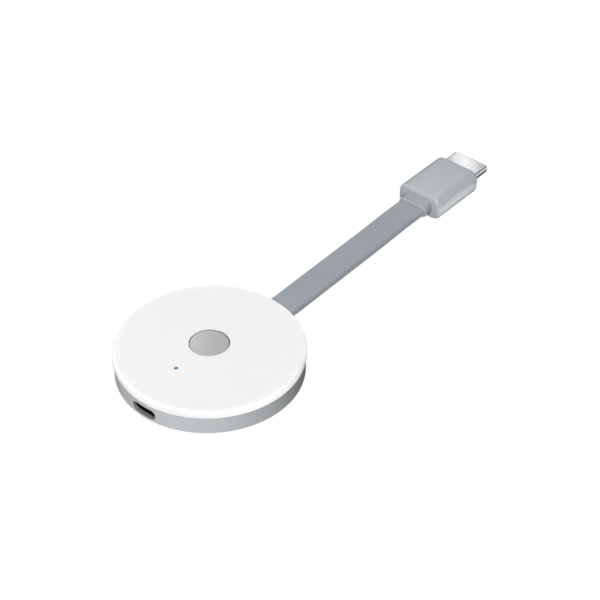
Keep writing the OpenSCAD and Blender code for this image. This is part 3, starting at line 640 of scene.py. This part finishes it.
def plug_sleeve():
    """The sleeve's section is drawn flat, its corners are rounded, and it is drawn out along the plug."""
    top, low = PLUG_Z + SHELL_H / 2, PLUG_Z - SHELL_H / 2
    half, low_half = SHELL_W / 2, SHELL_LOW_W / 2
    section = [(-half, top), (half, top), (half, top - SHELL_SIDE_H), (low_half, low), (-low_half, low),
               (-half, top - SHELL_SIDE_H)]
    obj = new_mesh("plug_sleeve", [mm(x, SHELL_END, z) for x, z in section], [tuple(range(len(section)))])
    edit(obj)
    bpy.ops.mesh.select_mode(type="VERT")
    bpy.ops.mesh.select_all(action="SELECT")
    bpy.ops.mesh.bevel(offset=SHELL_CORNER * MM, segments=6, affect="VERTICES")
    bpy.ops.mesh.select_all(action="SELECT")
    back = (0, (SHELL_BACK - SHELL_END) * MM, 0)
    bpy.ops.mesh.extrude_region_move(TRANSFORM_OT_translate={"value": back})
    # The two closed ends go, and the bent wall stays.
    pick(obj, "FACE", lambda face: len(face.vertices) > len(section))
    bpy.ops.mesh.delete(type="ONLY_FACE")
    bpy.ops.mesh.select_all(action="SELECT")
    bpy.ops.mesh.normals_make_consistent(inside=False)
    # Lines close to the rounded corners keep the wide faces flat in the light.
    cut_all((half - SHELL_TOP_LINE, 0, 0), (1, 0, 0))
    cut_all((SHELL_TOP_LINE - half, 0, 0), (1, 0, 0))
    cut_all((0, 0, top - SHELL_TOP_LINE), (0, 0, 1))
    cut_all((0, 0, top - SHELL_SIDE_LINE), (0, 0, 1))
    cut_all((0, SHELL_END - SHELL_MOUTH_LINE, 0), (0, 1, 0))
    bpy.ops.object.mode_set(mode="OBJECT")
    wall = obj.modifiers.new("wall", "SOLIDIFY")
    wall.thickness, wall.offset, wall.use_even_offset = SHELL_WALL * MM, -1, True
    bpy.ops.object.modifier_apply(modifier="wall")
    round_rim(obj, SHELL_END, SHELL_MOUTH, 3)
    settle(obj, 30, merge=0.0005)
    metal = plated("plug_shell_metal", (0.86, 0.86, 0.87), 0.2, (1, 0.05, 1))
    return finish_piece(obj, "housing", "plug_metal", metal, "plug_shell")


sleeve = plug_sleeve()


# Small parts on the board, with tinned ends
def chip_part(name, centre, size, cap):
    """One part: a block with soft edges, whose ends, cap long, stand out a little over the middle."""
    obj = new_block(name, centre, size)
    x, half = centre[0], size[0] / 2
    edit(obj)
    cut_all((x - half + cap, 0, 0), (1, 0, 0))
    cut_all((x + half - cap, 0, 0), (1, 0, 0))
    pick(obj, "FACE", lambda face: abs(face.center.x - x * MM) < (half - cap) * MM)
    bpy.ops.transform.resize(value=(1, CHIP_WAIST, CHIP_WAIST), center_override=mm(*centre))
    bpy.ops.object.mode_set(mode="OBJECT")
    soft = obj.modifiers.new("soft_edges", "BEVEL")
    soft.width, soft.segments = CHIP_EDGE * MM, 2
    soft.limit_method, soft.angle_limit = "ANGLE", math.radians(40)
    take(obj)
    bpy.ops.object.modifier_apply(modifier="soft_edges")
    # The narrow faces of the soft edges at the cuts count as part of the tinned ends.
    reach = (half - cap - CHIP_EDGE / 4) * MM
    tinned = obj.data.attributes.new("tinned", "FLOAT", "FACE")
    for face in obj.data.polygons:
        tinned.data[face.index].value = float(abs(face.center.x - x * MM) > reach)
    return obj


def part_rows(name, node, slot, material, shares, count, step, size, cap):
    """Rows of equal parts: one is modelled, and the others are copies with their own meshes."""
    x0, y0 = shares[0][0] * BOARD_R, shares[0][1] * BOARD_R
    first = chip_part(name, (x0, y0, BOARD_TOP + size[2] / 2), size, cap)
    parts = [first]
    for share in shares:
        for k in range(count):
            if (share, k) == (shares[0], 0):
                continue
            copy = first.copy()
            copy.data = first.data.copy()
            bpy.context.scene.collection.objects.link(copy)
            copy.location = mm(share[0] * BOARD_R + k * step - x0, share[1] * BOARD_R - y0, 0)
            parts.append(copy)
    clear_selection()
    for part in parts:
        part.select_set(True)
    bpy.context.view_layer.objects.active = first
    bpy.ops.object.transform_apply(location=True, rotation=False, scale=False)
    bpy.ops.object.join()
    finish_piece(first, "housing", slot, material, node)


part_rows("capacitor_rows", "capacitors", "capacitor_tan",
          end_marked("capacitor_ceramic", (0.30, 0.20, 0.12), 0.45),
          CAP_PLACES, count=5, step=1.8, size=(1.2, 0.8, 0.7), cap=0.28)
part_rows("resistor_rows", "resistors", "resistor_black",
          end_marked("resistor_film", (0.015, 0.015, 0.017), 0.35),
          OHM_PLACES, count=6, step=1.5, size=(1.0, 0.6, 0.35), cap=0.22)


# Studio. The photograph's light was evened out by hand, so most lamps here light a single piece. The
# floor and the sky are plain white to the camera.
SKY_LIGHT = 0.08
# painted shadow: a near-black patch on the floor under and beside the plug's shell, seen only in reflections
FLOOR_TONE, SHADOW_TONE = (0.3, 0.3, 0.3), (0.01, 0.01, 0.01)
SHADOW_LOW, SHADOW_HIGH = mm(-1, 126, 0), mm(11.3, 150, 0)


def painted_shadow_patch(tree, place, low, high, around, inside, socket):
    """Paints a shadow on the floor between two corners: painted shadow under and beside the plug's shell, for
    the reflection in the plug's metal.
    """
    middle = [(a + b) / 2 for a, b in zip(low, high)]
    out = vector(tree, "ABSOLUTE", vector(tree, "SUBTRACT", place, middle))
    within = [number(tree, "LESS_THAN", along(tree, out, axis), (high[k] - low[k]) / 2)
              for k, axis in enumerate("XY")]
    split_by(tree, number(tree, "MINIMUM", *within), "GREATER_THAN", 0.5, around, inside, socket)


def white_sky():
    """White to the camera, and otherwise dim."""
    world = bpy.data.worlds.new("studio_world")
    bpy.context.scene.world = world
    world.use_nodes = True
    tree = world.node_tree
    sky = tree.nodes["Background"]
    sky.inputs["Color"].default_value = (1, 1, 1, 1)
    seen = tree.nodes.new("ShaderNodeLightPath").outputs["Is Camera Ray"]
    tree.links.new(number(tree, "MULTIPLY_ADD", seen, 1 - SKY_LIGHT, SKY_LIGHT), sky.inputs["Strength"])


def white_floor():
    """White to the camera, and otherwise a dull grey floor that throws some light back."""
    clear_selection()
    bpy.ops.mesh.primitive_plane_add(size=6, location=(0, 0, 0))
    floor = bpy.context.object
    floor.name = "studio_floor"
    material, tree, shader, place = start_material("studio_floor_paint")
    painted_shadow_patch(tree, place, SHADOW_LOW, SHADOW_HIGH, FLOOR_TONE, SHADOW_TONE, shader.inputs["Base Color"])
    shader.inputs["Roughness"].default_value = 0.9
    shader.inputs["Specular IOR Level"].default_value = 0.1
    white = tree.nodes.new("ShaderNodeEmission")
    path = tree.nodes.new("ShaderNodeLightPath")
    mix = tree.nodes.new("ShaderNodeMixShader")
    tree.links.new(path.outputs["Is Camera Ray"], mix.inputs["Fac"])
    tree.links.new(shader.outputs["BSDF"], mix.inputs[1])
    tree.links.new(white.outputs["Emission"], mix.inputs[2])
    tree.links.new(mix.outputs["Shader"], tree.nodes["Material Output"].inputs["Surface"])
    floor.data.materials.append(material)


def card(name, spot, target, size, watts, only=(), spare=()):
    """A lit card of size (width, height) in metres; it may light only some pieces, or spare some."""
    bpy.ops.object.light_add(type="AREA", location=spot)
    light = bpy.context.object
    light.name = name
    light.data.shape = "RECTANGLE"
    light.data.size, light.data.size_y = size
    light.data.energy = watts
    light.visible_camera = False
    light.rotation_euler = (Vector(target) - light.location).to_track_quat("-Z", "Y").to_euler()
    if only or spare:
        linked = bpy.data.collections.new(name + ("_lights_only" if only else "_spares"))
        light.light_linking.receiver_collection = linked
        for piece in only or spare:
            linked.objects.link(piece)
        for entry in linked.collection_objects:
            entry.light_linking.link_state = "INCLUDE" if only else "EXCLUDE"
    return light


def softbox(name, target, turn, tilt, far, width, watts, only=(), spare=()):
    """A square softbox, far metres from its target.

    Turn goes from the camera's side towards the right and tilt from the floor up, in degrees.
    """
    side = math.radians(CAMERA_TURN + turn)
    up = math.radians(tilt)
    way = Vector((math.sin(side) * math.cos(up), -math.cos(side) * math.cos(up), math.sin(up)))
    return card(name, Vector(target) + way * far, target, (width, width), watts, only, spare)


def lamps():
    cover, band, shell, soft, cord = nodes["top_cover"], nodes["base_housing"], sleeve, moulding, jacket
    disc, rim = (0, 0, 0), (0, 0, 0.008)
    near, on_cord, on_plug, on_shell = (0, 0.05, 0), (0, 0.066, 0), (0, 0.118, 0), (0, 0.13, 0)
    # Name, target, degrees to the right of the camera's side, degrees above the floor, distance and
    # width in metres, watts, the only pieces it lights, the pieces it spares, seen in reflections
    rows = [
        ("front", near, -15, 38, 1.5, 0.8, 33, [], [cover, soft, cord], True),
        ("cable_left", on_cord, -110, 55, 1.5, 0.8, 18, [cord], [], True),
        ("cable_right", on_cord, 70, 18, 1.5, 0.6, 15, [cord], [], False),
        ("plug_front", on_plug, -5, 55, 1.5, 0.8, 16.6, [soft], [], True),
        ("plug_back", on_plug, 180, 62, 1.5, 0.8, 6, [soft], [], True),
        ("plug_low", on_plug, -20, 12, 1.5, 0.5, 10.5, [soft], [], True),
        ("plug_left", on_plug, -90, 20, 1.5, 0.8, 3.5, [soft], [], True),
        ("plug_right", on_plug, 90, 20, 1.5, 0.8, 3, [soft], [], True),
        ("back", near, 180, 36, 1.5, 1.2, 2.7, [], [shell], True),
        ("shell_back", on_shell, 180, 36, 1.5, 1.2, 1.8, [shell], [], True),
        ("shell_edge", on_shell, 133, 30, 1.5, 1.4, 2.4, [shell], [], True),
        ("shell_top", on_shell, 0, 88, 1.5, 0.8, 1.5, [shell], [], True),
        ("band_back", disc, 180, 18, 1.5, 0.7, 14, [band], [], True),
        ("cover_front", disc, -15, 50, 1.5, 0.8, 5.6, [cover], [], False),
        ("cover_left", disc, -100, 25, 0.4, 0.3, 0.24, [cover], [], False),
        ("cover_back", disc, -165, 50, 1.5, 0.8, 20, [cover], [], False),
        ("front_rim", rim, -10, 5, 1.5, 0.22, 18.5, [cover], [], False),
        ("right_rim", rim, 80, 5, 0.8, 0.5, 6.5, [cover], [], False),
        ("left_rim", rim, -95, 5, 0.8, 0.5, 2.3, [cover], [], False),
    ]
    for name, *setting, seen in rows:
        softbox(name + "_softbox", *setting).visible_glossy = seen
    card("button_left_card", mm(-28, 10, 28), mm(0, 0, 10), (0.02, 0.02), 0.0033, [nodes["button"]])
    card("plug_low_card", mm(15, 118, 0.4), mm(15, 118, 50), (0.008, 0.03), 0.0016, [soft])
    card("shell_low_card", mm(15.9, 141, 0.3), mm(15.9, 141, 50), (0.009, 0.022), 0.0006, [shell])
    card("plug_top_card", mm(-23.5, 168.7, 44.7), mm(6.5, 133.3, 6.7), (0.009, 0.05), 0.00095, [shell])


white_sky()
white_floor()
lamps()
bpy.context.scene.view_settings.view_transform = "Standard"
